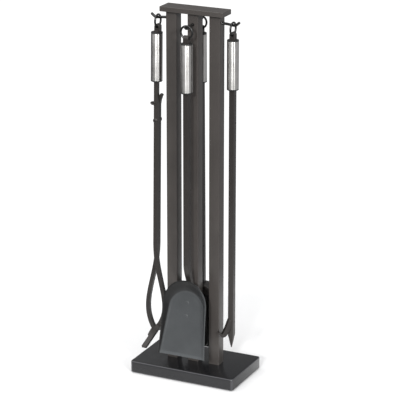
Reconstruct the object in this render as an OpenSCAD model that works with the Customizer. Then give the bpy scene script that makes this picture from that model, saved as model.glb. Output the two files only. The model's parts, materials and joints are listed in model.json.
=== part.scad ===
// Fireplace tool set: a stand of three square posts with four hooks, and a
// poker, a shovel, a brush and a pair of log tongs that hang from them.
// Millimetres, +Z up. The origin is at the middle of the feet, on the hearth.
// X runs along the long side of the base, and -Y is the front.

/* [Base] */
// Length of the base slab, along X
base_w = 256; // [256:1:320]
// Depth of the base slab, along Y
base_d = 152; // [140:1:180]
// Thickness of the base slab
base_h = 27; // [24:1:34]
// Radius of the slab's upright corners
base_corner_r = 6; // [3:1:12]
// Radius of the slab's top and bottom edges
base_edge_r = 2.5; // [1:0.5:4]
// How far the rubber feet stand below the slab
foot_h = 2; // [1:0.5:4]
// Diameter of a rubber foot
foot_d = 24; // [16:1:30]

/* [Posts] */
// Outside width of a square post
post_w = 25.4; // [22:0.1:28]
// Wall of a post
post_wall = 2; // [1.5:0.1:3]
// Length of a post
post_h = 806; // [780:1:860]
// Distance between the posts' centres
post_pitch = 52; // [46:1:54]

/* [Top plate] */
// Length of the top plate, along X
plate_w = 152; // [142:1:170]
// Depth of the top plate, along Y
plate_d = 43; // [36:1:50]
// Thickness of the top plate
plate_t = 11; // [6:1:14]

/* [Hooks] */
// Diameter of the hooks' round rod
rod_d = 6; // [5:0.5:6.5]
// Drop from the plate's underside to the side and rear hooks
hook_drop = 16.5; // [14:0.5:30]
// Extra drop of the front hook
front_hook_drop = 7.5; // [0:0.5:12]
// Place of a side ring along its hook
side_ring_u = 25.5; // [24.5:0.5:27]
// Place of the front ring along its hook
front_ring_u = 29.5; // [27:0.5:29.5]
// How much shorter the rear hook is than the others
rear_hook_less = 8; // [6:0.5:9]
// Place of the rear ring along its hook
rear_ring_u = 15.5; // [15.5:0.5:17]

/* [Rings] */
// Outside diameter of a ring
ring_od = 32; // [31:0.5:33]
// Diameter of the rings' wire
wire_d = 4.5; // [4:0.1:4.6]

/* [Handles] */
// Outside diameter of a steel sleeve
handle_d = 26; // [24:0.5:26]
// Length of a handle over its two end caps
handle_len = 111; // [100:1:120]
// Drop from the eye's hole to the handle's top
handle_drop = 11; // [10:0.5:14]
// Wall of a sleeve
sleeve_wall = 1.5; // [1:0.1:2]
// Thickness of an end cap's rim
cap_t = 2.5; // [2:0.5:4]

/* [Bars] */
// Width of the square bar of the poker, shovel and brush
bar_w = 12.7; // [11.5:0.1:12.7]
// Width of the square bar of the tongs
tong_w = 9.5; // [8.5:0.1:9.5]

/* [Poker] */
// Length from the eye's hole to the point
poker_len = 722.5; // [680:0.5:740]
// Length of the taper
point_len = 31; // [20:1:50]
// Turn of the side prong from the line to the stand, in degrees
prong_turn = 40; // [38:1:50]

/* [Shovel] */
// Lean of the pan's floor from upright, in degrees
pan_tilt = 14; // [12:1:15]
// Width of the pan's lip
lip_w = 108; // [96:1:112]
// Radius of the arch of the pan's floor
arch_r = 42; // [38:1:44]
// Depth of the pan at its rear wall
pan_depth = 20; // [16:1:22]
// Thickness of the pan's sheet
pan_t = 1.6; // [1.2:0.1:2]

/* [Brush] */
// Width of the brush head
brush_w = 80; // [64:1:90]
// Thickness of the brush head
brush_d = 30; // [24:1:32]
// Length of the bristles below the ferrule
bristle_len = 127; // [90:1:132]
// Lean of the hanging brush, away from the stand, in degrees
brush_lean = 0.76; // [0.6:0.02:0.8]

/* [Tongs] */
// Lean of the hanging tongs, in degrees
tong_lean = 0.72; // [0.6:0.02:0.74]
// Drop from the eye's hole to the pivot
pivot_drop = 212; // [205:1:230]
// Diameter of the pivot rivet's shank
rivet_d = 6; // [5:0.5:6]
// Reach of a foot from the jaw to its toe
toe_reach = 81; // [77:1:100]

/* [Hidden] */
$fn = 48;

// Gaps: between pieces of one body, and between two bodies
seat_gap = 0.1;
free_gap = 0.3;
// A little extra length for cutters
cut = 1;

// Heights
base_top = foot_h + base_h;
plate_z = base_top + post_h;
hook_z = plate_z - hook_drop;
front_hook_z = hook_z - front_hook_drop;

// Base fasteners
bolt_d = 8;
bolt_hole_d = 8.6;
bolt_head_af = 13;
bolt_head_h = 5.3;
washer_d = 20;
washer_t = 2;
pocket_d = 24;
pocket_h = 11;
plug_h = 24;
foot_recess = 1;
foot_inset = 22;

// The hook's line: along it (u), and up or down from its root (w)
hook_line = [[-1, 0], [14, -0.6], [31, -3], [39.5, 4.2]];
hook_slope = (hook_line[2][1] - hook_line[1][1]) / (hook_line[2][0] - hook_line[1][0]);
// Height of the ring's wire above the rod it rests on
ring_rest = rod_d / 2 + wire_d / 2 + 0.75;
ring_r = (ring_od - wire_d) / 2;
// The eye's hole lies just under the ring's centre line
eye_below_ring = ring_r - 0.95;
eye_hole_r = wire_d / 2 + 1.3;

// Poker
prong_t = 12;
prong_line = [[3, -656], [19.5, -695], [30, -682]];
prong_half = [5.4, 5, 1.5];

// Shovel: the pan's own frame has t up its floor from the lip, and n out of it
pan_lip = [28.5, -726.7];
arch_t = 105;
rim_w = 120;
rim_r = 54;
rim_t = 117;
lip_wall = 4;
tang_end_t = 45;
rivet_t = [92, 122];
pan_rivet_d = 5;
shovel_knee = [[0, -515], [0, -540], [-20.3, -557.7], [-14.3, -582]];

// Brush
ferrule_top = -593;
ferrule_h = 23;
ferrule_wall = 1.8;
arch_drop = 16;
socket_depth = 12;
bristle_flare = 5;

// Tongs
bar_gap = free_gap / 2;
lever_tip = [8.5, -153];
front_jaw = [[0, -500], [0, -590], [46, -642], [9.5, -697]];
rear_jaw = [[0, -500], [0, -590], [47, -650], [6.5, -713]];
heel_reach = 19;
foot_w = 12;
foot_t = 6;
toe_drop = 27;
heel_drop = 9;
tab_size = [13.6, 8.6];
tab_t = 3;
tab_place = [-5.4, -172];
rivet_head_d = 12.5;
rivet_head_h = 3;
rivet_run = 0.05;
jaw_steps = 16;

// ---- Outlines -------------------------------------------------------------

// A rectangle with round corners, as outline points
function round_rect(w, d, r, steps = 6) = [
    for (q = [0:3], i = [0:steps])
        let (a = 90 * q + 90 * i / steps,
             sx = (q == 0 || q == 3) ? 1 : -1,
             sy = q < 2 ? 1 : -1)
        [sx * (w / 2 - r) + r * cos(a), sy * (d / 2 - r) + r * sin(a)]
];

// An ellipse, as outline points
function ellipse(w, d, steps = 32) = [
    for (i = [0:steps - 1]) [w / 2 * cos(360 * i / steps), d / 2 * sin(360 * i / steps)]
];

// Points along a cubic curve with four control points
function cubic(p, steps) = [
    for (i = [0:steps])
        let (t = i / steps, s = 1 - t)
        s * s * s * p[0] + 3 * s * s * t * p[1] + 3 * s * t * t * p[2] + t * t * t * p[3]
];

function unit(v) = v / norm(v);
function side_of(v) = [-v[1], v[0]];

// The mitred sideways step at point i of a line
function side_step(line, i) =
    let (n = len(line),
         before = i == 0 ? line[1] - line[0] : line[i] - line[i - 1],
         after = i == n - 1 ? line[i] - line[i - 1] : line[i + 1] - line[i],
         a = side_of(unit(before)),
         b = side_of(unit(after)))
    (a + b) / (1 + a * b);

// The outline of a strip that follows a line, with a half width at each point
function strip(line, half) = concat(
    [for (i = [0:len(line) - 1]) line[i] + side_step(line, i) * half[i]],
    [for (i = [len(line) - 1:-1:0]) line[i] - side_step(line, i) * half[i]]
);

function same(line, value) = [for (p = line) value];

// Height of a hook's rod at the place u, from the hook's root
function rod_at(u) = hook_line[1][1] + hook_slope * (u - hook_line[1][0]);
// Height of the eye's hole for a ring at the place u
function eye_z(root_z, u) = root_z + rod_at(u) + ring_rest - ring_r - eye_below_ring;

// ---- Helpers --------------------------------------------------------------

// A slab that stands on z = 0, with round corners and soft edges
module soft_slab(w, d, h, corner, edge) {
    intersection() {
        linear_extrude(h)
            polygon(round_rect(w, d, corner));
        translate([0, d / 2 + cut, h / 2])
            rotate([90, 0, 0])
                linear_extrude(d + 2 * cut)
                    polygon(round_rect(w, h, edge));
        translate([-w / 2 - cut, 0, h / 2])
            rotate([90, 0, 90])
                linear_extrude(w + 2 * cut)
                    polygon(round_rect(d, h, edge));
    }
}

// An upright outline in X and Z, drawn with a thickness along Y from y0 to y1
module upright(points, y0, y1) {
    translate([0, y1, 0])
        rotate([90, 0, 0])
            linear_extrude(y1 - y0)
                polygon(points);
}

module at_posts() {
    for (x = [-post_pitch, 0, post_pitch])
        translate([x, 0, 0])
            children();
}

// The four places around the stand. Inside, +X points away from the stand.
module right_side() {
    translate([post_pitch + post_w / 2, 0, 0])
        children();
}

module left_side() {
    translate([-post_pitch - post_w / 2, 0, 0])
        rotate([0, 0, 180])
            children();
}

module front_side() {
    translate([0, -post_w / 2, 0])
        rotate([0, 0, -90])
            children();
}

module back_side() {
    translate([0, post_w / 2, 0])
        rotate([0, 0, 90])
            children();
}

// Where each tool's eye hangs
module at_poker() {
    right_side()
        translate([side_ring_u, 0, eye_z(hook_z, side_ring_u)])
            children();
}

module at_shovel() {
    front_side()
        translate([front_ring_u, 0, eye_z(front_hook_z, front_ring_u)])
            children();
}

// The brush hangs close to the post and leans away from it a little
module at_brush_eye() {
    back_side()
        translate([rear_ring_u, 0, eye_z(hook_z, rear_ring_u + rear_hook_less)])
            children();
}

module at_brush() {
    at_brush_eye()
        rotate([0, -brush_lean, 0])
            children();
}

// The tongs keep X to the right and Y to the back, and lean a little
module at_tongs() {
    translate([-post_pitch - post_w / 2 - side_ring_u, 0, eye_z(hook_z, side_ring_u)])
        rotate([0, tong_lean, 0])
            children();
}

// ---- Stand ----------------------------------------------------------------

module base() {
    color("#383736")
        difference() {
            translate([0, 0, foot_h])
                soft_slab(base_w, base_d, base_h, base_corner_r, base_edge_r);
            at_posts() {
                translate([0, 0, foot_h - cut])
                    cylinder(d = bolt_hole_d, h = base_h + 2 * cut);
                translate([0, 0, foot_h - cut])
                    cylinder(d = pocket_d, h = pocket_h + cut);
            }
            at_feet(foot_h - cut)
                cylinder(d = foot_d + 2 * seat_gap, h = foot_recess + cut);
        }
}

module at_feet(z) {
    for (sx = [-1, 1], sy = [-1, 1])
        translate([sx * (base_w / 2 - foot_inset), sy * (base_d / 2 - foot_inset), z])
            children();
}

module base_feet() {
    color("#202020")
        at_feet(0)
            cylinder(d = foot_d, h = foot_h + foot_recess);
}

module base_washers() {
    color("#b0b0ac")
        at_posts()
            translate([0, 0, foot_h + pocket_h - washer_t])
                difference() {
                    cylinder(d = washer_d, h = washer_t);
                    translate([0, 0, -cut])
                        cylinder(d = bolt_hole_d, h = washer_t + 2 * cut);
                }
}

module base_bolts() {
    head_z = foot_h + pocket_h - washer_t - bolt_head_h;
    shank = washer_t + base_h - pocket_h + plug_h - 2;
    color("#b0b0ac")
        at_posts()
            translate([0, 0, head_z]) {
                cylinder(d = bolt_head_af / cos(30), h = bolt_head_h, $fn = 6);
                translate([0, 0, bolt_head_h])
                    cylinder(d = bolt_d, h = shank);
            }
}

// A square tube with slightly round corners
module post() {
    color("#484542")
        translate([0, 0, base_top])
            linear_extrude(post_h)
                difference() {
                    polygon(round_rect(post_w, post_w, 1.6, 4));
                    square(post_w - 2 * post_wall, center = true);
                }
}

module post_left() {
    translate([-post_pitch, 0, 0])
        post();
}

module post_middle() {
    post();
}

module post_right() {
    translate([post_pitch, 0, 0])
        post();
}

// Threaded plugs welded in the bottom ends of the posts
module post_plugs() {
    plug_w = post_w - 2 * post_wall - 2 * seat_gap;
    color("#8a8a86")
        at_posts()
            translate([0, 0, base_top])
                difference() {
                    translate([-plug_w / 2, -plug_w / 2, 0])
                        cube([plug_w, plug_w, plug_h]);
                    translate([0, 0, -cut])
                        cylinder(d = bolt_d + seat_gap, h = plug_h + 2 * cut);
                }
}

module top_plate() {
    color("#484542")
        translate([0, 0, plate_z])
            soft_slab(plate_w, plate_d, plate_t, 1.5, 1);
}

// A round rod that dips to hold its ring and ends in an upturned tip
module hook(root_z, less = 0) {
    line = [for (p = hook_line) p[0] > 0 ? p - [less, 0] : p];
    color("#1e1e1e")
        difference() {
            union()
                for (i = [0:len(line) - 2])
                    hull()
                        for (p = [line[i], line[i + 1]])
                            translate([p[0], 0, root_z + p[1]])
                                sphere(d = rod_d, $fn = 20);
            translate([-20, -10, root_z - 10])
                cube([20, 20, 20]);
        }
}

module hook_right() {
    right_side()
        hook(hook_z);
}

module hook_left() {
    left_side()
        hook(hook_z);
}

module hook_front() {
    front_side()
        hook(front_hook_z);
}

module hook_back() {
    back_side()
        hook(hook_z, rear_hook_less);
}

// ---- Pieces that the four tools share --------------------------------------

// A wire ring through the eye, upright and square to the hook's rod.
// Its bottom passes through the eye's hole.
module ring() {
    color("#1e1e1e")
        translate([0, 0, eye_below_ring])
            rotate([0, 90, 0])
                rotate_extrude()
                    translate([ring_r, 0])
                        circle(d = wire_d, $fn = 24);
}

// The round head at the top of a bar
module eye(w, below) {
    rotate([90, 0, 0])
        cylinder(d = w, h = w, center = true);
    translate([-w / 2, -w / 2, -below])
        cube([w, w, below]);
}

// The ring's hole across a head
module eye_bore() {
    rotate([90, 0, 0])
        cylinder(r = eye_hole_r, h = 2 * bar_w, center = true);
}

module sleeve() {
    color("#c8c8c4")
        translate([0, 0, -handle_drop - handle_len + cap_t])
            difference() {
                cylinder(d = handle_d, h = handle_len - 2 * cap_t);
                translate([0, 0, -cut])
                    cylinder(d = handle_d - 2 * sleeve_wall, h = handle_len + 2 * cut);
            }
}

// An end cap stands on z = 0, rim down, with its spigot up
module end_cap(hole_w) {
    spigot_h = 9;
    difference() {
        union() {
            cylinder(d = handle_d, h = cap_t);
            cylinder(d = handle_d - 2 * sleeve_wall - 2 * seat_gap, h = cap_t + spigot_h);
        }
        translate([-hole_w / 2, -hole_w / 2, -cut])
            cube([hole_w, hole_w, cap_t + spigot_h + 2 * cut]);
    }
}

module caps(hole_w) {
    color("#1e1e1e") {
        translate([0, 0, -handle_drop - handle_len])
            end_cap(hole_w);
        translate([0, 0, -handle_drop])
            rotate([180, 0, 0])
                end_cap(hole_w);
    }
}

// ---- Poker ------------------------------------------------------------------

module poker_ring() {
    at_poker()
        ring();
}

module poker_bar() {
    half = bar_w / 2;
    tip_half = 1;
    outline = [
        [-half, 0], [-half, -poker_len + point_len], [-tip_half, -poker_len],
        [tip_half, -poker_len], [half, -poker_len + point_len], [half, 0]
    ];
    intersection() {
        upright(outline, -half, half);
        rotate([0, 0, 90])
            upright(outline, -half, half);
    }
}

module poker_shaft() {
    color("#3c3b39")
        at_poker()
            difference() {
                union() {
                    eye(bar_w, bar_w);
                    poker_bar();
                }
                eye_bore();
            }
}

module poker_prong() {
    color("#3c3b39")
        at_poker()
            difference() {
                rotate([0, 0, 180 + prong_turn])
                    upright(strip(prong_line, prong_half), -prong_t / 2, prong_t / 2);
                translate([-bar_w / 2, -bar_w / 2, -poker_len])
                    cube([bar_w, bar_w, poker_len]);
            }
}

module poker_sleeve() {
    at_poker()
        sleeve();
}

module poker_caps() {
    at_poker()
        caps(bar_w + 2 * seat_gap);
}

// ---- Shovel -----------------------------------------------------------------

module shovel_ring() {
    at_shovel()
        ring();
}

// Places children in the pan's frame: X across, Y up the floor, Z out of it
module in_pan() {
    translate([pan_lip[0], 0, pan_lip[1]])
        rotate([0, -pan_tilt, 0])
            rotate([90, 0, 90])
                children();
}

// The point t up the pan's floor and n out of it, in the tool's X and Z
function pan_point(t, n) = [
    pan_lip[0] - t * sin(pan_tilt) + n * cos(pan_tilt),
    pan_lip[1] + t * cos(pan_tilt) + n * sin(pan_tilt)
];

module shovel_shaft() {
    half = bar_w / 2;
    line = concat(
        [[0, 0]],
        cubic(shovel_knee, 8),
        [pan_point(tang_end_t, -half)]
    );
    color("#484542")
        at_shovel()
            difference() {
                union() {
                    eye(bar_w, bar_w);
                    upright(strip(line, same(line, half)), -half, half);
                }
                eye_bore();
                in_pan()
                    translate([-half - cut, 0, -seat_gap])
                        cube([bar_w + 2 * cut, rim_t, bar_w]);
                in_pan()
                    for (t = rivet_t)
                        translate([0, t, -bar_w])
                            cylinder(d = pan_rivet_d + seat_gap, h = bar_w + cut);
            }
}

// The outline of the pan at its floor and at its rim, from t = low upwards
module pan_outline(centre_t, r, w, low) {
    hull() {
        translate([0, centre_t])
            circle(r = r, $fn = 46);
        translate([-w / 2, low])
            square([w, 1]);
    }
}

// The pan's solid form from its floor at n = up, flaring to the rim's height
module pan_body(low, inset, up, floor_h, rim_h) {
    hull() {
        translate([0, 0, up])
            linear_extrude(floor_h)
                pan_outline(arch_t, arch_r - inset, lip_w - 2 * inset, low);
        translate([0, 0, pan_depth])
            linear_extrude(rim_h)
                pan_outline(rim_t, rim_r - inset, rim_w - 2 * inset, low);
    }
}

module shovel_pan() {
    wall_slope = atan((pan_depth - lip_wall) / (rim_t + rim_r));
    color("#54575a")
        at_shovel()
            in_pan()
                difference() {
                    pan_body(0, 0, 0, pan_t, 2);
                    pan_body(-10, pan_t, pan_t, 0.5, 4);
                    translate([-rim_w, 0, lip_wall])
                        rotate([wall_slope, 0, 0])
                            translate([0, -50, 0])
                                cube([2 * rim_w, 300, 50]);
                    for (t = rivet_t)
                        translate([0, t, -cut])
                            cylinder(d = pan_rivet_d + seat_gap, h = pan_t + 2 * cut);
                }
}

// Rivets with flat round heads, through the pan and the flattened bar
module shovel_rivets() {
    head_d = 9;
    head_h = 1.2;
    shank = pan_t + bar_w - 2;
    color("#484542")
        at_shovel()
            in_pan()
                for (t = rivet_t) {
                    translate([0, t, pan_t])
                        cylinder(d1 = head_d, d2 = head_d - 3, h = head_h);
                    translate([0, t, pan_t - shank])
                        cylinder(d = pan_rivet_d, h = shank);
                }
}

module shovel_sleeve() {
    at_shovel()
        sleeve();
}

module shovel_caps() {
    at_shovel()
        caps(bar_w + 2 * seat_gap);
}

// ---- Brush ------------------------------------------------------------------

module brush_ring() {
    at_brush_eye()
        ring();
}

// The arched outline of the ferrule, smaller by `inset`, down to z = low
function arch_outline(inset, low) =
    let (half = brush_w / 2 - inset, top = ferrule_top - inset, n = 16)
    concat(
        [[-half, low]],
        [for (i = [0:n])
            let (x = half * (2 * i / n - 1))
            [x, top - arch_drop * pow(x / (brush_w / 2), 2)]],
        [[half, low]]
    );

module brush_arch(inset, low) {
    depth = brush_d / 2 - inset;
    rotate([0, 0, 90])
        upright(arch_outline(inset, low), -depth, depth);
}

module brush_shaft() {
    color("#484542")
        at_brush()
            difference() {
                union() {
                    eye(bar_w, bar_w);
                    translate([-bar_w / 2, -bar_w / 2, ferrule_top - socket_depth])
                        cube([bar_w, bar_w, -ferrule_top + socket_depth]);
                }
                eye_bore();
            }
}

module brush_socket() {
    w = bar_w + 2 * seat_gap;
    translate([-w / 2, -w / 2, ferrule_top - socket_depth - seat_gap])
        cube([w, w, 3 * socket_depth]);
}

module brush_ferrule() {
    low = ferrule_top - ferrule_h;
    color("#3c3b39")
        at_brush()
            difference() {
                brush_arch(0, low);
                brush_arch(ferrule_wall, low - cut);
                brush_socket();
            }
}

module brush_block() {
    low = ferrule_top - ferrule_h;
    color("#2a2622")
        at_brush()
            difference() {
                brush_arch(ferrule_wall + seat_gap, low);
                brush_socket();
            }
}

// The bristles as one solid that spreads a little towards the floor
module brush_bristles() {
    top = ferrule_top - ferrule_h - seat_gap;
    inset = ferrule_wall + seat_gap;
    tuft_w = brush_w - 2 * inset;
    tuft_d = brush_d - 2 * inset;
    color("#151515")
        at_brush()
            intersection() {
                rotate([0, 0, 90])
                    upright([
                        [-tuft_w / 2, top], [tuft_w / 2, top],
                        [tuft_w / 2 + bristle_flare, top - bristle_len],
                        [-tuft_w / 2 - bristle_flare, top - bristle_len]
                    ], -brush_d, brush_d);
                upright([
                    [-tuft_d / 2, top], [tuft_d / 2, top],
                    [tuft_d / 2 + bristle_flare, top - bristle_len],
                    [-tuft_d / 2 - bristle_flare, top - bristle_len]
                ], -brush_w, brush_w);
            }
}

module brush_sleeve() {
    at_brush()
        sleeve();
}

module brush_caps() {
    at_brush()
        caps(bar_w + 2 * seat_gap);
}

// ---- Tongs ------------------------------------------------------------------

module tongs_ring() {
    translate([-post_pitch - post_w / 2 - side_ring_u, 0, eye_z(hook_z, side_ring_u)])
        ring();
}

// A flat foot across the end of a jaw: a long toe to the front, a short heel behind
module foot(jaw) {
    line = [
        [heel_reach, jaw[3][1] - heel_drop],
        [2, jaw[3][1]],
        [-2, jaw[3][1]],
        [-toe_reach, jaw[3][1] - toe_drop]
    ];
    translate([jaw[3][0], 0, 0])
        rotate([0, 0, 90])
            upright(strip(line, same(line, foot_t / 2)), -foot_w / 2, foot_w / 2);
}

// The front bar carries the handle and the right-hand jaw
module tongs_main_bar() {
    jaw = cubic(front_jaw, jaw_steps);
    line = concat([[0, -handle_drop + 3]], jaw);
    color("#4c4a48")
        at_tongs()
            difference() {
                union() {
                    eye(bar_w, handle_drop);
                    upright(strip(line, same(line, tong_w / 2)), -tong_w - bar_gap, -bar_gap);
                    foot(front_jaw);
                }
                eye_bore();
                translate([0, cut, -pivot_drop])
                    rotate([90, 0, 0])
                        cylinder(d = rivet_d + seat_gap, h = tong_w + bar_gap + 2 * cut);
            }
}

// The rear bar is a lever above the pivot and the left-hand jaw below it
module tongs_lever_bar() {
    jaw = [for (p = cubic(rear_jaw, jaw_steps)) [-p[0], p[1]]];
    line = concat([lever_tip, [2.5, -165], [0, -177]], jaw);
    color("#4c4a48")
        at_tongs()
            difference() {
                union() {
                    upright(strip(line, same(line, tong_w / 2)), bar_gap, tong_w + bar_gap);
                    rotate([0, 0, 180])
                        foot(rear_jaw);
                }
                translate([0, tong_w + bar_gap + cut, -pivot_drop])
                    rotate([90, 0, 0])
                        cylinder(d = rivet_d + 2 * rivet_run, h = tong_w + 2 * cut);
            }
}

// One rivet with a head on each side
module tongs_rivet() {
    front = -tong_w - bar_gap;
    back = tong_w + bar_gap + free_gap;
    color("#4c4a48")
        at_tongs()
            translate([0, 0, -pivot_drop])
                rotate([90, 0, 0]) {
                    translate([0, 0, -back])
                        cylinder(d = rivet_d, h = back - front);
                    translate([0, 0, -front])
                        cylinder(d1 = rivet_head_d, d2 = rivet_head_d - 4, h = rivet_head_h);
                    translate([0, 0, -back - rivet_head_h])
                        cylinder(d1 = rivet_head_d - 4, d2 = rivet_head_d, h = rivet_head_h);
                }
}

module tongs_finger_tab() {
    front = -tong_w - bar_gap;
    color("#3c3b39")
        at_tongs()
            translate([tab_place[0], 0, tab_place[1]])
                upright(ellipse(tab_size[0], tab_size[1]), front - tab_t, front);
}

module tongs_handle() {
    at_tongs()
        translate([0, -tong_w / 2 - bar_gap, 0])
            children();
}

module tongs_sleeve() {
    tongs_handle()
        sleeve();
}

module tongs_caps() {
    tongs_handle()
        caps(tong_w + 2 * seat_gap);
}

base();
base_feet();
base_bolts();
base_washers();
post_left();
post_middle();
post_right();
post_plugs();
top_plate();
hook_left();
hook_right();
hook_front();
hook_back();
poker_ring();
poker_shaft();
poker_prong();
poker_sleeve();
poker_caps();
shovel_ring();
shovel_shaft();
shovel_sleeve();
shovel_caps();
shovel_pan();
shovel_rivets();
brush_ring();
brush_shaft();
brush_sleeve();
brush_caps();
brush_ferrule();
brush_block();
brush_bristles();
tongs_ring();
tongs_main_bar();
tongs_lever_bar();
tongs_rivet();
tongs_finger_tab();
tongs_sleeve();
tongs_caps();
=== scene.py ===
"""Looks of the fireplace tool set: pieces, finishes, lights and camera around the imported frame."""
import json
import math
import random

import bmesh
import bpy
from mathutils import Matrix, Vector


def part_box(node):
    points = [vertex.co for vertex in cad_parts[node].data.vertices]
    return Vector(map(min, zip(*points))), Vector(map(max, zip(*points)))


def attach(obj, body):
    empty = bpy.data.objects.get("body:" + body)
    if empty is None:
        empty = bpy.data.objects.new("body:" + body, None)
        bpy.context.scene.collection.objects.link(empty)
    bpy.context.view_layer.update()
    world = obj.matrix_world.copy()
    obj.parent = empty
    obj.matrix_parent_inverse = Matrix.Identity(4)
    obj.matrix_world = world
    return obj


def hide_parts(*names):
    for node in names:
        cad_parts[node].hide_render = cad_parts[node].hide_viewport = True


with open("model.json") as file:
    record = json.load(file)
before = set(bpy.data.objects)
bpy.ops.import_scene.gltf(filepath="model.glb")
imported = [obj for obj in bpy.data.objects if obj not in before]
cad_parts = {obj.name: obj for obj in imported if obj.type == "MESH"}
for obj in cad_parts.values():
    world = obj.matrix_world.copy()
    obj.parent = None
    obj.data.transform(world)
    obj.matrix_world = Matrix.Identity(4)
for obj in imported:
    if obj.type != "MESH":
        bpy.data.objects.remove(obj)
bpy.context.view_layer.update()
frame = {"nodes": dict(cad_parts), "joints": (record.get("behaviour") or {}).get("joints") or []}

UP = Vector((0, 0, 1))


# ---- The frame ---------------------------------------------------------------

def low(node):
    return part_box(node)[0]


def high(node):
    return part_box(node)[1]


def size(node):
    return high(node) - low(node)


def middle(node):
    return (low(node) + high(node)) / 2


def pivot(joint_name):
    joint = next(j for j in frame["joints"] if j["name"] == joint_name)
    return Vector(joint["pos_m"])


def local_box(node, place):
    """The low and high corners of a node in the frame of place."""
    obj = frame["nodes"][node]
    into = place.inverted() @ obj.matrix_world
    points = [into @ v.co for v in obj.data.vertices]
    return tuple(Vector([pick(p[i] for p in points) for i in range(3)]) for pick in (min, max))


def hanging(eye, outward):
    """The place of something at eye, with its X turned to outward and Z up."""
    u = Vector(outward)
    return Matrix.Translation(eye) @ Matrix((u, UP.cross(u), UP)).transposed().to_4x4()


# Widths of the tools' bars and of the tongs' own, the rings' wire and their radius to its middle,
# the hooks' rod, the radius of the hole in an eye, the radius of a handle, and the brush's lean
BAR = size("brush_shaft").x
TONG = 0.0095
WIRE = size("poker_ring").x
RING = (size("poker_ring").y - WIRE) / 2
ROD = size("hook_right").y
EYE_HOLE = 0.00355
SLEEVE = size("poker_sleeve").x / 2
BRUSH_LEAN = math.radians(0.76)

POKER = hanging(pivot("poker_swing"), (1, 0, 0))
SHOVEL = hanging(pivot("shovel_swing"), (0, -1, 0))
BRUSH = hanging(pivot("brush_swing"), (0, 1, 0)) @ Matrix.Rotation(-BRUSH_LEAN, 4, "Y")
TONGS_EYE = pivot("tongs_swing")
TONGS_PIVOT = pivot("tongs_open")
TONGS_LEAN = math.atan2(TONGS_EYE.x - TONGS_PIVOT.x, TONGS_EYE.z - TONGS_PIVOT.z)
TONGS = Matrix.Translation(TONGS_EYE) @ Matrix.Rotation(TONGS_LEAN, 4, "Y")


# ---- Finishes ------------------------------------------------------------------

class Finish:
    """A material on the principled shader, with its detail read from places on the piece."""

    def __init__(self, name, slot, **constants):
        self.slot = slot
        self.material = bpy.data.materials.new(name)
        self.material.use_nodes = True
        self.tree = self.material.node_tree
        self.tree.nodes.clear()
        self.shader = self.add("ShaderNodeBsdfPrincipled")
        output = self.add("ShaderNodeOutputMaterial")
        self.join(self.shader.outputs["BSDF"], output.inputs["Surface"])
        self.place = self.add("ShaderNodeTexCoord").outputs["Object"]
        for socket, value in constants.items():
            self.shader.inputs[socket.replace("_", " ")].default_value = value

    def add(self, kind, **settings):
        node = self.tree.nodes.new(kind)
        for key, value in settings.items():
            setattr(node, key, value)
        return node

    def join(self, source, target):
        self.tree.links.new(source, target)

    def noise(self, scale, detail=2.0, stretch=(1, 1, 1)):
        """Noise with about `scale` lumps to the metre, drawn out where stretch is under 1."""
        mapping = self.add("ShaderNodeMapping")
        mapping.inputs["Scale"].default_value = stretch
        noise = self.add("ShaderNodeTexNoise")
        noise.inputs["Scale"].default_value = scale
        noise.inputs["Detail"].default_value = detail
        self.join(self.place, mapping.inputs["Vector"])
        self.join(mapping.outputs["Vector"], noise.inputs["Vector"])
        return noise.outputs["Fac"]

    def spread(self, value, start, end, to_start, to_end):
        """value, from start to end, as a number from to_start to to_end."""
        node = self.add("ShaderNodeMapRange")
        for socket, number in zip(node.inputs[1:5], (start, end, to_start, to_end)):
            socket.default_value = number
        self.join(value, node.inputs[0])
        return node.outputs[0]

    def times(self, a, b):
        node = self.add("ShaderNodeMath", operation="MULTIPLY")
        self.join(a, node.inputs[0])
        self.join(b, node.inputs[1])
        return node.outputs[0]

    def edges(self, start, end):
        """1 along convex edges, 0 on the flats: the mask for painted edge highlights and for rubbed wear."""
        return self.spread(self.add("ShaderNodeNewGeometry").outputs["Pointiness"], start, end, 0, 1)

    def blend(self, share, first, second):
        """A colour from first to second. Each is a colour or a socket."""
        node = self.add("ShaderNodeMix", data_type="RGBA")
        self.join(share, node.inputs[0])
        for socket, colour in ((node.inputs[6], first), (node.inputs[7], second)):
            if isinstance(colour, bpy.types.NodeSocket):
                self.join(colour, socket)
            else:
                socket.default_value = (*colour, 1)
        return node.outputs[2]

    def bump(self, height, depth, under=None):
        node = self.add("ShaderNodeBump")
        node.inputs["Distance"].default_value = depth
        self.join(height, node.inputs["Height"])
        if under is not None:
            self.join(under, node.inputs["Normal"])
        return node.outputs["Normal"]

    def set(self, **sockets):
        for socket, source in sockets.items():
            self.join(source, self.shader.inputs[socket.replace("_", " ")])


def darker(colour, share):
    return tuple(channel * share for channel in colour)


def powder_coat(name, slot, colour, roughness, shine, edge_highlight=1.3, edge=0.526, grain=0.00005):
    """Satin powder coat: an orange-peel skin, faint clouds of tone, and thin edges painted paler as a
    painted highlight.
    """
    finish = Finish(name, slot, Specular_IOR_Level=shine)
    clouds = finish.noise(14, 3)
    speckle = finish.noise(700, 2)
    tone = finish.blend(finish.spread(clouds, 0.35, 0.65, 0, 1), darker(colour, 0.9), darker(colour, 1.08))
    tone = finish.blend(finish.spread(speckle, 0.55, 0.8, 0, 0.3), tone, darker(colour, 1.6))
    # Painted highlight: convex edges are painted paler by this share.
    tone = finish.blend(finish.edges(edge, edge + 0.012), tone, darker(colour, edge_highlight))
    skin = finish.bump(finish.noise(900, 2), grain)
    finish.set(
        Base_Color=tone,
        Roughness=finish.spread(finish.noise(60, 3), 0.3, 0.7, roughness - 0.05, roughness + 0.05),
        Normal=finish.bump(finish.noise(260, 2), grain, skin),
    )
    return finish


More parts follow.
